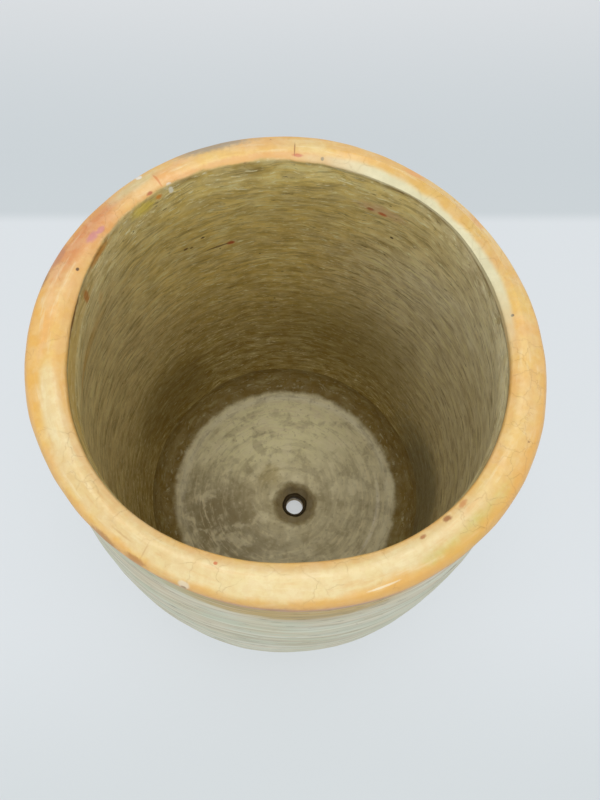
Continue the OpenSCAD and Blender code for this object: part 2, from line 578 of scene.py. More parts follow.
# %% [markdown]
# ## The floor slab
#
# The slab has a hole that isn't at its centre. So its outline is spun round the hole's own axis, and
# then each ring is slid sideways by an amount that grows with its radius: rings near the hole stay
# round it, and the outermost ring lands round the pot. That keeps the mesh even, with its finest
# rings where the detail is.
#
# The hole was punched through from below, and flakes broke away round its mouth. Each flake is a
# shallow scoop, the cap of a large ball, and the deepest scoop wins at every vertex. Their overlapping
# edges give the crater its uneven, many-sided outline.

# %% Floor slab outline
MOUTH_FLARE = 11.6 * MM
BORE_TOP = SLAB_LOW.z + DRAIN["dims"]["length_mm"] * MM
SLAB_EDGE = soft_radius(WALL_INSIDE, SLAB_TOP)
FOOT_RADIUS = radius_at(turned_line("floor_slab", 1), SLAB_LOW.z)
SEAM_RADIUS = soft_radius(WALL_OUTSIDE, WALL_LOW.z)
FINE_REACH = 34 * MM
SLIDE_START = FINE_REACH * 0.7
SLIDE_END = FOOT_RADIUS * 0.95
SLAB_ROUND = 420

slab_outline = (
    even_points((DRAIN_RADIUS, SLAB_LOW.z), (DRAIN_RADIUS, BORE_TOP), 8)
    + even_points((DRAIN_RADIUS, BORE_TOP), (MOUTH_FLARE, SLAB_TOP - 1 * MM), 10)
    + even_points((MOUTH_FLARE, SLAB_TOP), (FINE_REACH, SLAB_TOP), 46)
    + even_points((FINE_REACH, SLAB_TOP), (SLAB_EDGE, SLAB_TOP), 60)
    + even_points((SLAB_EDGE, SLAB_TOP), (SEAM_RADIUS, WALL_LOW.z), 4)
    + even_points((SEAM_RADIUS, WALL_LOW.z), (FOOT_RADIUS, SLAB_LOW.z), 5)
    + even_points((FOOT_RADIUS, SLAB_LOW.z), (DRAIN_RADIUS, SLAB_LOW.z), 30)
)
slab_mesh = turn_section(slab_outline, SLAB_ROUND)

# %% Flakes round the hole
FLAKES = (
    (10, 10, 11.5, 3.4), (60, 9, 12.0, 3.8), (112, 10, 11.5, 3.8),
    (160, 11, 10.5, 3.4), (215, 10, 12.0, 3.0), (262, 9, 12.5, 3.0), (315, 10, 12.0, 3.2),
)
SAG = 0.6 * MM


def flake_depth(x, y):
    """How deep the flaked crater is at a point beside the hole, in metres."""
    deepest = 0.0
    for angle, off, reach, depth in FLAKES:
        away_x = x - off * MM * cos(radians(angle))
        away_y = y - off * MM * sin(radians(angle))
        share = hypot(away_x, away_y) / (reach * MM)
        if share < 1:
            deepest = max(deepest, depth * MM * min(1.0, 1.6 * (1 - share**2)))
    return deepest


for vertex in slab_mesh.verts:
    spot = vertex.co.copy()
    out = hypot(spot.x, spot.y)
    if spot.z > SLAB_TOP - 4 * MM and out < SLAB_EDGE:
        broken = flake_depth(spot.x, spot.y)
        wear = lump(spot, 7 * MM, 2.0) * 0.25 * MM + lump(spot, 19 * MM, 4.0) * 0.5 * MM
        settle = min(1.0, (SLAB_EDGE - out) / (20 * MM))
        settle *= min(1.0, max(0.0, spot.z - SLAB_TOP + 1 * MM) / MM)
        vertex.co.z -= broken + (SAG - wear) * settle
    if spot.z > SLAB_LOW.z + 4 * MM and out < MOUTH_FLARE + 1 * MM:
        rough = 1 + lump(spot, 6 * MM, 9.0) * 0.06
        vertex.co.x *= rough
        vertex.co.y *= rough
    slide = max(0.0, 1 - max(out - SLIDE_START, 0.0) / (SLIDE_END - SLIDE_START))
    vertex.co.x += DRAIN_X * slide
    vertex.co.y += DRAIN_Y * slide
bend_by_hand(slab_mesh)
for face in slab_mesh.faces:
    centre = face.calc_center_median()
    face.material_index = 0 if centre.z > WALL_LOW.z and hypot(centre.x, centre.y) < SLAB_EDGE else 1
slab = finish_piece(slab_mesh, "floor_slab_pierced")

# %% [markdown]
# ## Effects as node groups
#
# The same few effects come back in every finish: a cloudy change of tone, lines left by a scraping
# rib, small specks, a net of hair cracks and single patches at a known place. Each one is built once
# as a node group with named inputs, and each finish sets its own sizes. All of them read the crock's
# own coordinates in metres, so a size typed in is a real size on the clay.

# %% Group helpers
def start_group(name, results, **wanted):
    """Makes a node group that takes a point and named numbers, and returns it with its sockets."""
    group = bpy.data.node_groups.new(name, "ShaderNodeTree")
    group.interface.new_socket("Vector", in_out="INPUT", socket_type="NodeSocketVector")
    for label, value in wanted.items():
        socket = group.interface.new_socket(label, in_out="INPUT", socket_type="NodeSocketFloat")
        socket.default_value = value
    for label in results:
        kind = "NodeSocketColor" if label == "Color" else "NodeSocketFloat"
        group.interface.new_socket(label, in_out="OUTPUT", socket_type=kind)
    return group, group.nodes.new("NodeGroupInput").outputs, group.nodes.new("NodeGroupOutput").inputs


def place(tree, group, spot, **values):
    """Places a node group in a finish at a point with its own values, and returns its outputs."""
    return put(tree, "ShaderNodeGroup", {"Vector": spot, **values}, node_tree=group).outputs


# %% Cloudy tone
cloud_group, given, result = start_group("cloudy_tone", ["Mask"], Size=0.02, Contrast=0.5, Seed=0.0)
tree = cloud_group
cloud_at = on_vectors(tree, "DIVIDE", given["Vector"], given["Size"])
cloud_at = on_vectors(tree, "ADD", cloud_at, given["Seed"])
cloud = grain(tree, cloud_at, 1.0, 4.0, 0.6)
half_span = reckon(tree, "MULTIPLY_ADD", given["Contrast"], -0.22, 0.25)
low = reckon(tree, "SUBTRACT", 0.5, half_span)
high = reckon(tree, "ADD", 0.5, half_span)
tree.links.new(soft_step(tree, cloud, low, high), result["Mask"])


def clouds(tree, spot, size, contrast=0.5, seed=0.0):
    """A cloudy mask with lumps of a given size in metres; a high contrast gives crisp edges."""
    return place(tree, cloud_group, spot, Size=size, Contrast=contrast, Seed=seed)[0]


# %% Scraped lines
line_group, given, result = start_group("scraped_lines", ["Lines"], Length=0.05, Pitch=0.002, Seed=0.0)
tree = line_group
shrink = put(
    tree, "ShaderNodeCombineXYZ", {"X": given["Length"], "Y": given["Length"], "Z": given["Pitch"]}
)
drawn = on_vectors(tree, "DIVIDE", given["Vector"], shrink.outputs[0])
drawn = on_vectors(tree, "ADD", drawn, given["Seed"])
tree.links.new(grain(tree, drawn, 1.0, 3.0, 0.6), result["Lines"])


def scraped(tree, spot, length, pitch, seed=0.0):
    """Lines drawn round the pot, of a given length and pitch in metres, as a value around 0.5."""
    return place(tree, line_group, spot, Length=length, Pitch=pitch, Seed=seed)[0]


# %% Specks and hair cracks
speck_group, given, result = start_group("specks", ["Mask"], Spacing=0.01, Size=0.1, Share=0.3)
tree = speck_group
speck_at = on_vectors(tree, "DIVIDE", given["Vector"], given["Spacing"])
cells = put(tree, "ShaderNodeTexVoronoi", {"Vector": speck_at, "Scale": 1.0})
chosen = put(tree, "ShaderNodeSeparateColor", {0: cells.outputs["Color"]}).outputs[0]
chosen = reckon(tree, "LESS_THAN", chosen, given["Share"])
fringe = reckon(tree, "MULTIPLY", given["Size"], 0.5)
dot = soft_step(tree, cells.outputs["Distance"], given["Size"], fringe)
tree.links.new(reckon(tree, "MULTIPLY", dot, chosen), result["Mask"])

craze_group, given, result = start_group("hair_cracks", ["Mask"], Cell=0.01, Width=0.03, Wander=0.3)
tree = craze_group
craze_at = on_vectors(tree, "DIVIDE", given["Vector"], given["Cell"])
drift = put(tree, "ShaderNodeTexNoise", {"Vector": craze_at, "Scale": 2.0, "Detail": 3.0})
drift = {0: drift.outputs["Color"], "Scale": given["Wander"]}
drift = put(tree, "ShaderNodeVectorMath", drift, operation="SCALE")
craze_at = on_vectors(tree, "ADD", craze_at, drift.outputs[0])
net = {"Vector": craze_at, "Scale": 1.0}
net = put(tree, "ShaderNodeTexVoronoi", net, feature="DISTANCE_TO_EDGE")
tree.links.new(soft_step(tree, net.outputs["Distance"], given["Width"], 0.0), result["Mask"])


def specks(tree, spot, spacing, size, share):
    """Small dots: spacing in metres, size as a part of the spacing, and the share of cells with a dot."""
    return place(tree, speck_group, spot, Spacing=spacing, Size=size, Share=share)[0]


def hair_cracks(tree, spot, cell, width, wander=0.35):
    """A net of fine cracks with cells of a given size in metres."""
    return place(tree, craze_group, spot, Cell=cell, Width=width, Wander=wander)[0]


# %% One patch at a known place
patch_group, given, result = start_group(
    "patch_on_pot", ["Mask"], Angle=0.0, Radius=0.1, Height=0.3, Half_Arc=0.01,
    Half_Width=0.01, Half_Height=0.01, Wobble=0.5, Ragged=0.5, Softness=0.3,
)
tree = patch_group
turned_back = {"Vector": given["Vector"], "Angle": given["Angle"]}
turned_back = put(tree, "ShaderNodeVectorRotate", turned_back, rotation_type="Z_AXIS").outputs[0]
parts, reach = round_the_axis(tree, turned_back)
bearing = reckon(tree, "ARCTAN2", parts["Y"], parts["X"])
square = 0.0
for off, half_size in (
    (reckon(tree, "MULTIPLY", bearing, given["Radius"]), "Half_Arc"),
    (reckon(tree, "SUBTRACT", reach, given["Radius"]), "Half_Width"),
    (reckon(tree, "SUBTRACT", parts["Z"], given["Height"]), "Half_Height"),
):
    share = reckon(tree, "DIVIDE", off, given[half_size])
    square = reckon(tree, "MULTIPLY_ADD", share, share, square)
ragged = reckon(tree, "SUBTRACT", given["Wobble"], 0.5)
edge = reckon(tree, "MULTIPLY_ADD", ragged, given["Ragged"], reckon(tree, "SQRT", square))
outside = reckon(tree, "ADD", 1.0, given["Softness"])
inside = reckon(tree, "SUBTRACT", 1.0, given["Softness"])
tree.links.new(soft_step(tree, edge, outside, inside), result["Mask"])


def patch(tree, spot, wobble, angle, radius, height, half_sizes, ragged=0.6, soft=0.3):
    """Mask of one patch. Angle in degrees round the pot, the other sizes in millimetres."""
    arc, width, tall = half_sizes
    return place(
        tree, patch_group, spot, Angle=radians(-angle), Radius=radius * MM, Height=height * MM,
        Half_Arc=arc * MM, Half_Width=width * MM, Half_Height=tall * MM,
        Wobble=wobble, Ragged=ragged, Softness=soft,
    )[0]


def add_marks(tree, spot, wobble, colour, marks):
    """Paints a list of marks: angle, radius, height, half sizes, ragged, soft, strength, colour."""
    for angle, radius, height, half_sizes, ragged, soft, strength, over in marks:
        mask = patch(tree, spot, wobble, angle, radius, height, half_sizes, ragged, soft)
        colour = blend_paint(tree, reckon(tree, "MULTIPLY", mask, strength), colour, paint(*over))
    return colour


print("node groups:", [group.name for group in bpy.data.node_groups])

# %% [markdown]
# ## Raw clay inside
#
# The inside was never slipped or burnished. It is olive-brown clay, scraped round and round with a rib
# while it was leather-hard, so it is full of short level lines: dark where the rib dragged, pale where
# it smeared fine clay over the grit. Over the clay the group paints light in pale patches on the upper
# walls, and shade that deepens towards the floor. The rim's inner face shows the same clay below its
# glossy edge, and the coil is smeared with it, so the whole effect is one node group that three
# finishes use.

# %% Marks inside
# Painted light: pale patches on the upper walls to the right, the left and the far side, where the light
# from above falls.
INSIDE_PAINTED_LIGHT = (
    (4, 118, 225, (120, 40, 140), 0.8, 0.5, 0.78, (250, 246, 222)),
    (170, 118, 235, (80, 40, 125), 0.9, 0.5, 0.72, (246, 230, 182)),
    (122, 116, 270, (50, 40, 60), 0.9, 0.5, 0.60, (246, 220, 132)),
    (88, 116, 312, (110, 40, 36), 0.9, 0.5, 0.55, (252, 226, 136)),
)
# Painted shade: darker patches low on the walls, to the right and towards the far side, where less light
# reaches.
LOWER_WALL_PAINTED_SHADE = (
    (146, 122, 80, (44, 40, 44), 0.9, 0.5, 0.50, (124, 102, 34)),
    (-6, 122, 56, (70, 40, 46), 0.9, 0.5, 0.60, (112, 108, 90)),
    (62, 122, 120, (60, 40, 60), 0.9, 0.5, 0.35, (140, 122, 60)),
)
MOUTH_STAINS = (
    (186, 108, 338, (44, 8, 9.0), 0.9, 0.5, 0.55, (206, 164, 66)),
    (176, 107, 346, (13, 8, 2.2), 0.8, 0.4, 0.85, (132, 84, 30)),
    (155, 107, 345, (9, 8, 2.4), 0.9, 0.5, 0.75, (212, 140, 44)),
    (136, 106, 343, (7, 8, 3.4), 1.1, 0.5, 0.60, (246, 222, 90)),
    (130, 106, 344, (1.8, 8, 1.5), 1.1, 0.5, 0.80, (240, 150, 40)),
    (166, 105, 337, (2.2, 8, 4.5), 1.2, 0.5, 0.80, (190, 116, 34)),
    (126, 106, 344, (1.4, 6, 2.4), 0.9, 0.3, 0.90, (255, 252, 232)),
)
WALL_STAINS = (
    (160, 113, 316, (3.0, 8, 7), 1.2, 0.6, 0.40, (230, 176, 84)),
    (61, 108, 317, (13, 8, 5), 1.2, 0.7, 0.55, (238, 196, 160)),
    (61, 108, 314, (2.8, 8, 1.8), 1.0, 0.4, 0.85, (214, 104, 54)),
    (65, 108, 315, (2.2, 8, 1.6), 1.0, 0.4, 0.75, (186, 92, 48)),
    (57, 112, 293, (1.2, 8, 1.0), 0.5, 0.3, 0.90, (66, 44, 24)),
    (109, 119, 260, (2.6, 8, 2.0), 1.3, 0.4, 0.90, (196, 84, 36)),
    (113, 119, 260, (8.0, 8, 0.9), 1.2, 0.5, 0.80, (120, 80, 40)),
    (118, 117, 279, (1.3, 8, 1.1), 0.8, 0.3, 0.90, (90, 54, 30)),
    (124, 117, 274, (1.5, 8, 1.2), 0.8, 0.3, 0.90, (100, 60, 32)),
    (122, 117, 272, (1.1, 8, 0.9), 0.8, 0.3, 0.85, (90, 54, 30)),
    (176, 116, 300, (30, 10, 9), 1.2, 0.7, 0.55, (214, 164, 60)),
)

# %% The raw clay group
clay_group, given, result = start_group("raw_clay_inside", ["Color", "Roughness", "Relief"])
tree = clay_group
spot = given["Vector"]
height = put(tree, "ShaderNodeSeparateXYZ", {0: spot}).outputs["Z"]
ragged_edge = grain(tree, spot, 260, 4.0, 0.65)
drift = grain(tree, spot, 34, 2.0, 0.5)
slanted = put(tree, "ShaderNodeCombineXYZ", {"Z": reckon(tree, "MULTIPLY", drift, 0.012)})
slanted = on_vectors(tree, "ADD", spot, slanted.outputs[0])
broad_lines = scraped(tree, slanted, 0.024, 0.0036, 1.0)
fine_lines = scraped(tree, slanted, 0.014, 0.0012, 4.0)
short_lines = scraped(tree, slanted, 0.0070, 0.0015, 9.0)
smears = scraped(tree, slanted, 0.0045, 0.0024, 17.0)

pale_clay = clouds(tree, spot, 0.035, 0.1)
colour = blend_paint(tree, pale_clay, paint(206, 176, 92), paint(236, 210, 124))
# Painted shade: the inside clay turns darker towards the floor, from 260 mm high down to 60 mm.
colour = lay_bands(tree, colour, ((height, 0.260, 0.060, 0.80, (150, 124, 52)),))
# Lays the painted light on the upper walls.
colour = add_marks(tree, spot, ragged_edge, colour, INSIDE_PAINTED_LIGHT)
mottle = clouds(tree, stretch(tree, slanted, 0.7, 1.3), 0.010, 0.4, 5.0)
pale_mottle = clouds(tree, stretch(tree, slanted, 0.7, 1.6), 0.008, 0.5, 41.0)
colour = lay_masks(tree, colour, ((mottle, 0.42, (152, 126, 66)), (pale_mottle, 0.26, (255, 246, 196))))
colour = lay_bands(tree, colour, (
    (broad_lines, 0.47, 0.30, 0.50, (134, 112, 58)),
    (fine_lines, 0.46, 0.30, 0.50, (140, 118, 64)),
    (broad_lines, 0.54, 0.72, 0.40, (255, 250, 188)),
    (short_lines, 0.58, 0.70, 0.70, (255, 252, 210)),
    (smears, 0.60, 0.72, 0.55, (255, 248, 196)),
    (short_lines, 0.37, 0.27, 0.70, (104, 84, 42)),
))
pits = specks(tree, spot, 0.012, 0.075, 0.30)
colour = lay_masks(tree, colour, ((pits, 0.7, (96, 70, 36)),))
tree.links.new(colour, result["Color"])

rough = soft_step(tree, fine_lines, 0.3, 0.7, 0.60, 0.78)
tree.links.new(rough, result["Roughness"])
relief = add_up(tree, (
    (broad_lines, 0.5), (fine_lines, 0.25), (short_lines, 0.3), (smears, 0.3), (pits, -0.6),
))
tree.links.new(relief, result["Relief"])

# %% Start a finish
def start_finish(name):
    """A material with an emptied node tree, and the crock's own coordinates to paint by."""
    material = bpy.data.materials.new(name)
    material.use_nodes = True
    material.node_tree.nodes.clear()
    return material, material.node_tree, put(material.node_tree, "ShaderNodeTexCoord").outputs["Object"]


def end_finish(tree, colour, roughness, relief, depth, coat=0.0, specular=0.5):
    """Closes a finish: colour, roughness, and bumps of a given depth in metres from the relief."""
    bump = put(tree, "ShaderNodeBump", {"Height": relief, "Distance": depth, "Strength": 1.0})
    shader = put(tree, "ShaderNodeBsdfPrincipled", {
        "Base Color": colour, "Roughness": roughness, "Normal": bump.outputs[0],
        "Coat Weight": coat, "Coat Roughness": 0.22, "Specular IOR Level": specular,
    })
    put(tree, "ShaderNodeOutputMaterial", {"Surface": shader.outputs[0]})


inside_clay, tree, spot = start_finish("raw_clay_inside")
raw = place(tree, clay_group, spot)
ragged_edge = grain(tree, spot, 260, 4.0, 0.65)
# Lays the painted shade low on the walls, then the wall's real stains.
colour = add_marks(tree, spot, ragged_edge, raw["Color"], LOWER_WALL_PAINTED_SHADE + WALL_STAINS)
end_finish(tree, colour, raw["Roughness"], raw["Relief"], 0.5 * MM, specular=0.35)
print("raw clay has", len(clay_group.nodes), "nodes")

# %% [markdown]
# ## The floor's clay
#
# The floor is the same clay, but paler: it was smoothed with wet fingers, which brings up fine slip. It
# dried blotchy, with small lumps, darker patches to one side, a pale ring near the edge and curved
# finger streaks. The crater round the hole is darkened, painted shade in the hollow over the broken
# clay's own darker tone, and below the floor's top the inside of the hole is painted dark as shade.
# Replacing the height by the distance from the axis bends the scraped lines into circles. The finger ran
# on over the coil's foot, so the slab and the coil share one finish, which turns from smoothed to raw
# clay with the distance from the axis, and the joint can't be seen. On the coil the raw clay is also
# darkened halfway to brown, painted shade in the corner.

# %% Floor group
FLOOR_TINTS = (
    (98, 68, 20, (78, 36, 8), 0.9, 0.6, 0.98, (255, 250, 206)),
    (70, 98, 20, (130, 3.4, 8), 0.7, 0.9, 0.90, (255, 250, 222)),
    (180, 96, 20, (46, 3.0, 8), 1.3, 0.6, 0.65, (232, 226, 200)),
    (206, 66, 20, (46, 32, 8), 1.2, 0.7, 0.80, (150, 136, 102)),
    (262, 66, 20, (44, 30, 8), 1.0, 0.6, 0.50, (196, 190, 166)),
    (-10, 56, 20, (50, 30, 8), 1.0, 0.6, 0.55, (200, 192, 160)),
    (128, 24, 20, (12, 9, 8), 1.0, 0.6, 0.55, (204, 188, 132)),
    (-16, 88, 20, (40, 1.8, 8), 0.5, 0.5, 0.85, (250, 244, 222)),
)

floor_group, given, result = start_group("smoothed_clay_floor", ["Color", "Roughness", "Relief"])
tree = floor_group
spot = given["Vector"]
parts, reach = round_the_axis(tree, spot)
rings = ring_point(tree, parts, reach)
ragged_edge = grain(tree, spot, 170, 4.0, 0.6)
pale_clay = clouds(tree, spot, 0.030, 0.2)
colour = blend_paint(tree, pale_clay, paint(212, 202, 164), paint(234, 226, 190))
colour = add_marks(tree, spot, ragged_edge, colour, FLOOR_TINTS)
swirls = scraped(tree, rings, 0.030, 0.0085, 51.0)
lumps = grain(tree, spot, 75, 3.0, 0.55, 0.3)
crumbs = grain(tree, spot, 300, 3.0, 0.6)
colour = lay_bands(tree, colour, (
    (swirls, 0.50, 0.34, 0.30, (156, 142, 100)),
    (swirls, 0.50, 0.68, 0.50, (255, 248, 212)),
    (lumps, 0.48, 0.34, 0.38, (156, 142, 104)),
    (lumps, 0.53, 0.68, 0.50, (255, 248, 214)),
    (crumbs, 0.58, 0.72, 0.40, (244, 236, 204)),
    (crumbs, 0.42, 0.30, 0.30, (150, 134, 98)),
))
strokes = scraped(tree, rings, 0.018, 0.0030, 3.0)
stroke_zone = soft_step(tree, reach, 0.040, 0.075)
for start, full, strength, over in ((0.52, 0.68, 0.70, (242, 232, 196)), (0.45, 0.32, 0.25, (150, 134, 96))):
    stroke = soft_step(tree, strokes, start, full)
    colour = lay_masks(tree, colour, ((reckon(tree, "MULTIPLY", stroke, stroke_zone), strength, over),))
from_hole = on_vectors(tree, "SUBTRACT", spot, (DRAIN_X, DRAIN_Y, SLAB_TOP))
from_hole = put(tree, "ShaderNodeVectorMath", {0: from_hole}, operation="LENGTH").outputs["Value"]
from_hole = reckon(tree, "MULTIPLY_ADD", ragged_edge, 0.006, from_hole)
# Painted shade: the crater round the hole darkens, shade in the hollow over the broken clay's darker tone;
# below the floor's top the inside of the hole is painted dark as shade.
colour = lay_bands(tree, colour, (
    (from_hole, 0.0260, 0.0200, 0.70, (132, 112, 66)),
    (parts["Z"], SLAB_TOP - 2.5 * MM, SLAB_TOP - 6 * MM, 0.88, (62, 46, 22)),
))
tree.links.new(colour, result["Color"])
relief = add_up(tree, ((lumps, 1.0), (swirls, 1.0), (crumbs, 0.35), (strokes, 0.4)))
tree.links.new(relief, result["Relief"])
tree.links.new(soft_step(tree, crumbs, 0.3, 0.7, 0.66, 0.82), result["Roughness"])

# %% Floor and coil finish
corner_clay, tree, spot = start_finish("smoothed_clay_floor")
smooth = place(tree, floor_group, spot)
raw = place(tree, clay_group, spot)
reach = round_the_axis(tree, spot)[1]
reach = reckon(tree, "MULTIPLY_ADD", grain(tree, spot, 120, 3.0, 0.6), 0.006, reach)
to_raw = soft_step(tree, reach, COIL_TOE + 0.5 * MM, COIL_TOE + 6 * MM)
# Painted shade: on the coil the raw clay is darkened halfway to brown, the shade in the corner between floor
# and wall.
smeared_and_shaded = blend_paint(tree, 0.50, raw["Color"], paint(104, 84, 40))
colour = blend_paint(tree, to_raw, smooth["Color"], smeared_and_shaded)
relief = blend_paint(tree, to_raw, smooth["Relief"], raw["Relief"])
end_finish(tree, colour, raw["Roughness"], relief, 0.5 * MM, specular=0.3)
print("floor group has", len(floor_group.nodes), "nodes")

# %% [markdown]
# ## Pale slip outside
#
# Outside, the crock was brushed with a thin, chalky slip while it turned. The brush left fine level
# hairs of grey and brown, and the slip is greenish where it is thin and peach where the body shows
# through. Just under the near side of the rim runs a tan band. At the foot the slip has
# worn off, and the underside is plain clay with circular turning marks.

# %% Slip finish
SLIP_MARKS = (
    (-88, 125, 313, (66, 20, 15), 0.40, 0.32, 0.92, (196, 164, 96)),
    (-88, 125, 296, (64, 20, 2.2), 0.5, 0.5, 0.70, (224, 212, 184)),
    (-50, 126, 306, (26, 20, 6.0), 0.9, 0.6, 0.45, (222, 190, 152)),
    (-132, 124, 312, (46, 20, 12), 0.8, 0.6, 0.60, (186, 186, 150)),
    (-118, 128, 285, (26, 20, 8.0), 1.2, 0.6, 0.45, (216, 192, 152)),
    (60, 130, 280, (60, 20, 22), 1.2, 0.6, 0.35, (200, 198, 172)),
    (150, 140, 160, (70, 20, 60), 1.2, 0.6, 0.35, (216, 202, 172)),
)

slip, tree, spot = start_finish("pale_slip_outside")
parts, reach = round_the_axis(tree, spot)
rings = ring_point(tree, parts, reach)
ragged_edge = grain(tree, spot, 150, 4.0, 0.6)
pale_slip = clouds(tree, spot, 0.045, 0.2)
colour = blend_paint(tree, pale_slip, paint(206, 204, 178), paint(218, 216, 196))
green = clouds(tree, stretch(tree, spot, 0.5, 1.6), 0.030, 0.4, 11.0)
peach = clouds(tree, stretch(tree, spot, 0.6, 2.0), 0.016, 0.8, 23.0)
colour = lay_masks(tree, colour, ((green, 0.50, (196, 202, 170)), (peach, 0.35, (226, 202, 166))))
colour = add_marks(tree, spot, ragged_edge, colour, SLIP_MARKS)
hairs = scraped(tree, spot, 0.070, 0.0014, 2.0)
wide_hairs = scraped(tree, spot, 0.080, 0.0046, 6.0)
nicks = scraped(tree, spot, 0.016, 0.0022, 8.0)
colour = lay_bands(tree, colour, (
    (wide_hairs, 0.48, 0.37, 0.42, (164, 148, 112)),
    (wide_hairs, 0.53, 0.63, 0.45, (234, 232, 214)),
    (hairs, 0.44, 0.28, 0.45, (142, 134, 108)),
    (hairs, 0.56, 0.72, 0.55, (232, 230, 214)),
    (nicks, 0.385, 0.31, 0.65, (124, 100, 66)),
))
grit = specks(tree, spot, 0.009, 0.07, 0.3)
colour = lay_masks(tree, colour, ((grit, 0.60, (110, 92, 66)),))
worn = soft_step(tree, reckon(tree, "MULTIPLY_ADD", ragged_edge, -0.012, parts["Z"]), 0.004, -0.003)
turning = scraped(tree, rings, 0.050, 0.0028, 14.0)
bare = blend_paint(tree, soft_step(tree, turning, 0.35, 0.65), paint(150, 128, 92), paint(192, 172, 132))
colour = blend_paint(tree, worn, colour, bare)
relief = add_up(tree, ((wide_hairs, 0.7), (hairs, 0.45), (grit, -0.6)))
end_finish(tree, colour, soft_step(tree, hairs, 0.3, 0.7, 0.52, 0.66), relief, 0.3 * MM, specular=0.4)
print("slip finish has", len(tree.nodes), "nodes")

# %% [markdown]
# ## The burnished rim
#
# The rim was rubbed with a smooth stone until it shone, and the fire painted it: ochre and peach
# clouds, cream over much of the near side, orange along both edges where the colour pooled, and a few
# smoky fire marks. Where the lip turns under, its orange is darkened by painted shade, and the scraped
# bevel is painted pale cream as a reflection of the light. Stone strokes run along the rim, so its
# cloudy tones are drawn out round the pot. Chips, pits, hair cracks and one painted highlight, a thin
# glint on the near shoulder, are marks in a table, so that each one can be moved or taken away.

# %% Marks on the rim
RIM_CLOUDS = (
    (-92, 115, 350, (78, 7.5, 12), 0.8, 0.28, 0.80, (236, 216, 160)),
    (-136, 113, 350, (62, 7.0, 12), 0.8, 0.28, 0.80, (234, 206, 146)),
    (-158, 112, 350, (26, 5.0, 12), 0.7, 0.35, 0.70, (240, 218, 162)),
    (-54, 115, 350, (34, 6.0, 12), 0.9, 0.40, 0.60, (234, 212, 158)),
    (-48, 122, 347, (24, 4.0, 12), 1.0, 0.50, 0.65, (206, 190, 96)),
    (-52, 127, 340, (16, 4.0, 12), 1.0, 0.50, 0.55, (214, 190, 84)),
    (-22, 116, 350, (26, 8.0, 12), 1.0, 0.60, 0.45, (238, 202, 136)),
    (176, 118, 349, (22, 7.5, 12), 0.9, 0.40, 0.90, (244, 184, 104)),
    (184, 122, 347, (44, 5.0, 12), 0.8, 0.40, 0.85, (240, 184, 84)),
    (160, 116, 350, (22, 9.0, 12), 1.2, 0.60, 0.55, (244, 200, 142)),
    (150, 118, 349, (30, 9.5, 12), 1.0, 0.60, 0.90, (220, 136, 74)),
    (134, 119, 348, (14, 5.0, 12), 0.9, 0.45, 0.75, (218, 202, 146)),
    (134, 112, 349, (16, 4.0, 12), 1.0, 0.50, 0.60, (240, 196, 132)),
    (122, 113, 349, (12, 7.0, 12), 1.0, 0.50, 0.60, (242, 172, 104)),
    (110, 112, 350, (22, 5.0, 12), 1.0, 0.50, 0.60, (244, 206, 126)),
    (100, 118, 349, (16, 7.0, 12), 1.0, 0.60, 0.55, (242, 178, 106)),
    (86, 114, 350, (14, 7.0, 12), 1.0, 0.60, 0.50, (238, 210, 144)),
    (66, 118, 348, (28, 6.0, 12), 1.2, 0.60, 0.55, (242, 186, 98)),
    (42, 120, 348, (36, 6.0, 12), 1.1, 0.60, 0.50, (242, 196, 108)),
)
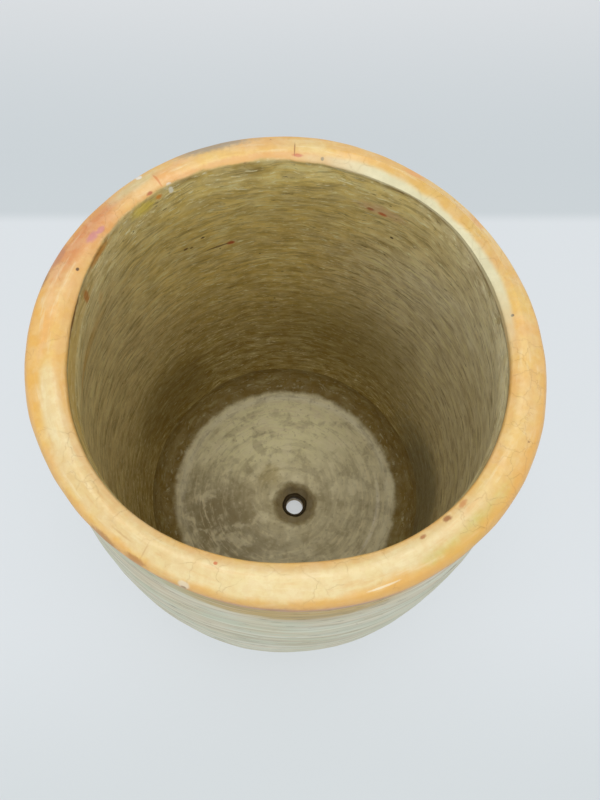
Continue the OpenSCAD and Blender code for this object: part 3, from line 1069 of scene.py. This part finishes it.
RIM_MARKS_AND_GLINT = (
    (152, 112, 350, (3.6, 2.0, 8), 0.9, 0.45, 0.75, (206, 132, 136)),
    (149, 111, 350, (2.4, 1.4, 8), 0.9, 0.40, 0.60, (198, 120, 140)),
    (160, 123, 345, (8.0, 2.6, 9), 1.1, 0.50, 0.55, (176, 110, 98)),
    (110, 122, 346, (19, 4.0, 9), 1.0, 0.50, 0.72, (150, 142, 128)),
    (166, 124, 344, (5.0, 1.8, 7), 1.0, 0.50, 0.60, (140, 92, 58)),
    (131, 122, 347, (1.6, 1.4, 6), 1.2, 0.30, 0.85, (240, 236, 226)),
    (126, 108, 348, (1.5, 1.0, 2.5), 1.3, 0.40, 0.75, (240, 234, 220)),
    (132, 109, 348, (1.8, 0.9, 3), 1.2, 0.40, 0.80, (178, 84, 40)),
    (128, 113, 349, (0.6, 4.5, 3), 1.0, 0.40, 0.60, (214, 120, 50)),
    (162, 109, 349, (0.9, 0.8, 3), 1.0, 0.30, 0.90, (88, 58, 30)),
    (88, 108, 348, (2.8, 0.8, 3), 1.0, 0.40, 0.85, (206, 96, 50)),
    (89, 112, 350, (0.35, 5.0, 4), 0.9, 0.40, 0.70, (150, 84, 40)),
    (81, 108, 348, (0.9, 0.9, 3), 0.8, 0.30, 0.90, (104, 74, 40)),
    (56, 118, 348, (6.0, 2.4, 6), 1.2, 0.50, 0.70, (240, 162, 84)),
    (35, 118, 348, (5.0, 2.2, 6), 1.2, 0.50, 0.60, (240, 168, 88)),
    (7, 110, 349, (0.8, 0.8, 3), 0.6, 0.25, 0.95, (70, 30, 10)),
    (-46, 111, 349, (2.6, 1.0, 4), 1.3, 0.45, 0.70, (206, 136, 76)),
    (-51, 111, 349, (2.0, 1.3, 4), 1.3, 0.40, 0.85, (164, 104, 56)),
    (-58, 111, 349, (1.5, 0.9, 4), 1.2, 0.40, 0.80, (176, 110, 60)),
    (-105, 110, 349, (0.9, 0.7, 4), 1.2, 0.35, 0.85, (214, 116, 66)),
    (-110, 122, 344, (2.6, 1.4, 5), 0.7, 0.30, 0.70, (240, 226, 196)),
    (-110, 123, 342, (1.4, 0.6, 2), 0.7, 0.30, 0.80, (160, 120, 70)),
    (-129, 123, 343, (7.0, 1.6, 5), 1.3, 0.40, 0.65, (168, 108, 52)),
    (-121, 122, 344, (5.0, 1.2, 5), 1.3, 0.40, 0.65, (178, 112, 50)),
    (-126, 117, 349, (5.0, 0.4, 4), 1.8, 0.60, 0.45, (200, 150, 92)),
    (-120, 118, 349, (0.4, 4.0, 4), 1.8, 0.60, 0.45, (196, 144, 86)),
    # Painted highlight: a thin pale glint along the near shoulder.
    (-70, 122, 347, (7.0, 0.45, 4), 0.9, 0.40, 0.55, (255, 246, 214)),
)

# %% Rim finish
rim_finish, tree, spot = start_finish("burnished_ochre_rim")
parts, reach = round_the_axis(tree, spot)
rings = ring_point(tree, parts, reach)
broad_wobble = grain(tree, spot, 75, 4.0, 0.6)
fine_wobble = grain(tree, spot, 420, 3.0, 0.6)

colour = blend_paint(tree, clouds(tree, spot, 0.030, 0.2), paint(236, 184, 92), paint(238, 200, 112))
peach = clouds(tree, spot, 0.017, 0.5, 31.0)
yellow = clouds(tree, spot, 0.013, 0.6, 57.0)
colour = lay_masks(tree, colour, ((peach, 0.45, (238, 180, 114)), (yellow, 0.40, (238, 204, 116))))
colour = add_marks(tree, spot, broad_wobble, colour, RIM_CLOUDS)
strokes = scraped(tree, rings, 0.022, 0.0030, 5.0)
colour = lay_bands(tree, colour, (
    (strokes, 0.54, 0.72, 0.40, (250, 232, 184)),
    (strokes, 0.46, 0.28, 0.35, (226, 172, 98)),
))
facets = clouds(tree, spot, 0.0075, 0.7, 12.0)
freckles = clouds(tree, spot, 0.0040, 0.7, 90.0)
colour = lay_masks(tree, colour, ((facets, 0.16, (250, 236, 196)), (freckles, 0.16, (214, 160, 92))))

# %% Orange edges and lip
edge_wobble = reckon(tree, "MULTIPLY_ADD", broad_wobble, 0.007, reckon(tree, "SUBTRACT", reach, 0.0035))
colour = lay_bands(tree, colour, (
    (edge_wobble, RIM_RADIUS - 6 * MM, RIM_RADIUS - 0.5 * MM, 0.70, (232, 172, 84)),
))
lip_height = reckon(tree, "MULTIPLY_ADD", fine_wobble, 0.004, parts["Z"])
colour = lay_bands(tree, colour, ((lip_height, POT_TOP - 5 * MM, POT_TOP - 8.5 * MM, 0.65, (212, 142, 62)),))
lip_height = reckon(tree, "MULTIPLY_ADD", broad_wobble, 0.005, lip_height)
# Partly painted shade: below the shoulder the outer face and the lip, where the roll turns under, darken to
# brown-orange over the pooled orange.
lip = soft_step(tree, lip_height, POT_TOP - 4 * MM, POT_TOP - 10 * MM, 0.0, 0.72)
lip_colour_and_shade = blend_paint(tree, clouds(tree, spot, 0.014, 0.4, 44.0), paint(190, 128, 64), paint(146, 98, 50))
colour = blend_paint(tree, lip, colour, lip_colour_and_shade)
colour = lay_bands(tree, colour, (
    (lip_height, POT_TOP - 12.5 * MM, POT_TOP - 17.5 * MM, 0.55, (206, 170, 112)),
))
inner_wobble = reckon(tree, "MULTIPLY_ADD", fine_wobble, 0.003, reckon(tree, "SUBTRACT", reach, 0.0015))
far_side = patch(tree, spot, broad_wobble, 100, 110, 345, (130, 60, 60), 0.4, 0.4)
inner_edge = soft_step(tree, inner_wobble, MOUTH_RADIUS + 3.3 * MM, MOUTH_RADIUS + 1.1 * MM)
inner_edge = reckon(tree, "MULTIPLY", inner_edge, reckon(tree, "MULTIPLY_ADD", far_side, 0.30, 0.25))
colour = blend_paint(tree, inner_edge, colour, paint(226, 162, 88))
# Paints the chips, pits and stains, and the painted highlight on the near shoulder.
colour = add_marks(tree, spot, fine_wobble, colour, RIM_MARKS_AND_GLINT)

# %% Hair cracks, pits and the bare inner face
cracks = hair_cracks(tree, spot, 0.011, 0.014, 0.6)
crack_zone = clouds(tree, spot, 0.020, 0.8, 71.0)
cracks = reckon(tree, "MULTIPLY", cracks, crack_zone)
pits = specks(tree, spot, 0.012, 0.05, 0.3)
colour = lay_masks(tree, colour, ((cracks, 0.22, (206, 160, 104)), (pits, 0.60, (160, 98, 52))))

raw = place(tree, clay_group, spot)
bevel = patch(tree, spot, broad_wobble, 42, 107.5, 345, (70, 40, 80), 0.35, 0.45)
# Painted reflection: the scraped bevel is painted pale cream, the light reflected off its face.
pale_bevel = clouds(tree, spot, 0.012, 0.4, 3.0)
bevel_reflection_tone = blend_paint(tree, pale_bevel, paint(226, 216, 174), paint(240, 230, 188))
bevel_width = reckon(tree, "MULTIPLY_ADD", bevel, 0.0036, MOUTH_RADIUS - 0.1 * MM)
bevel_width = reckon(tree, "MULTIPLY_ADD", broad_wobble, 0.0030, bevel_width)
on_bevel = soft_step(tree, reckon(tree, "SUBTRACT", reach, bevel_width), 0.0004, -0.0022)
colour = blend_paint(tree, reckon(tree, "MULTIPLY", bevel, on_bevel), colour, bevel_reflection_tone)
on_inner_face = soft_step(tree, reach, MOUTH_RADIUS + 3.7 * MM, MOUTH_RADIUS + 2.5 * MM)
glaze_end = reckon(tree, "MULTIPLY_ADD", far_side, 0.0022, POT_TOP - 6.2 * MM)
glaze_end = reckon(tree, "MULTIPLY_ADD", bevel, -0.0050, glaze_end)
glaze_end = reckon(tree, "MULTIPLY_ADD", grain(tree, spot, 110, 3.0, 0.6), 0.0016, glaze_end)
under_glaze = reckon(tree, "SUBTRACT", parts["Z"], glaze_end)
is_bare = reckon(tree, "MULTIPLY", soft_step(tree, under_glaze, 0.0012, 0.0002), on_inner_face)
bare_clay = add_marks(tree, spot, fine_wobble, raw["Color"], MOUTH_STAINS)
colour = blend_paint(tree, is_bare, colour, bare_clay)
edge_line = reckon(tree, "MULTIPLY", soft_step(tree, under_glaze, -0.0014, -0.0002), is_bare)
colour = lay_masks(tree, colour, ((edge_line, 0.40, (112, 82, 38)),))

gloss = soft_step(tree, grain(tree, spot, 110, 4.0, 0.6), 0.3, 0.7, 0.36, 0.52)
gloss = reckon(tree, "MULTIPLY_ADD", cracks, 0.2, gloss)
rough = reckon(tree, "MULTIPLY_ADD", is_bare, 0.28, gloss)
dimples = grain(tree, spot, 130, 3.0, 0.5)
relief = add_up(tree, ((dimples, 1.2), (strokes, 0.5), (facets, 0.15), (cracks, -0.35), (pits, -0.8)))
coat = reckon(tree, "MULTIPLY_ADD", is_bare, -0.12, 0.12)
end_finish(tree, colour, rough, relief, 0.30 * MM, coat=coat)
print("rim finish has", len(tree.nodes), "nodes")

# %% Put the finishes on
rim.data.materials.append(rim_finish)
wall.data.materials.append(slip)
wall.data.materials.append(inside_clay)
coil.data.materials.append(corner_clay)
slab.data.materials.append(corner_clay)
slab.data.materials.append(slip)

# %% [markdown]
# ## Hand the pieces over
#
# Nothing on a crock moves, so every piece rides on the one body, root. Each piece then takes the place
# of its CAD node, which is hidden. The visual model has to stay inside the CAD box.

# %% Hand over the pieces
for piece, node, slot in (
    (rim, "rim", "glazed_rim"),
    (wall, "wall", "slipped_wall"),
    (coil, "corner_coil", "bare_floor"),
    (slab, "floor_slab", "bare_floor"),
):
    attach(piece, "root")
    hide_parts(node)
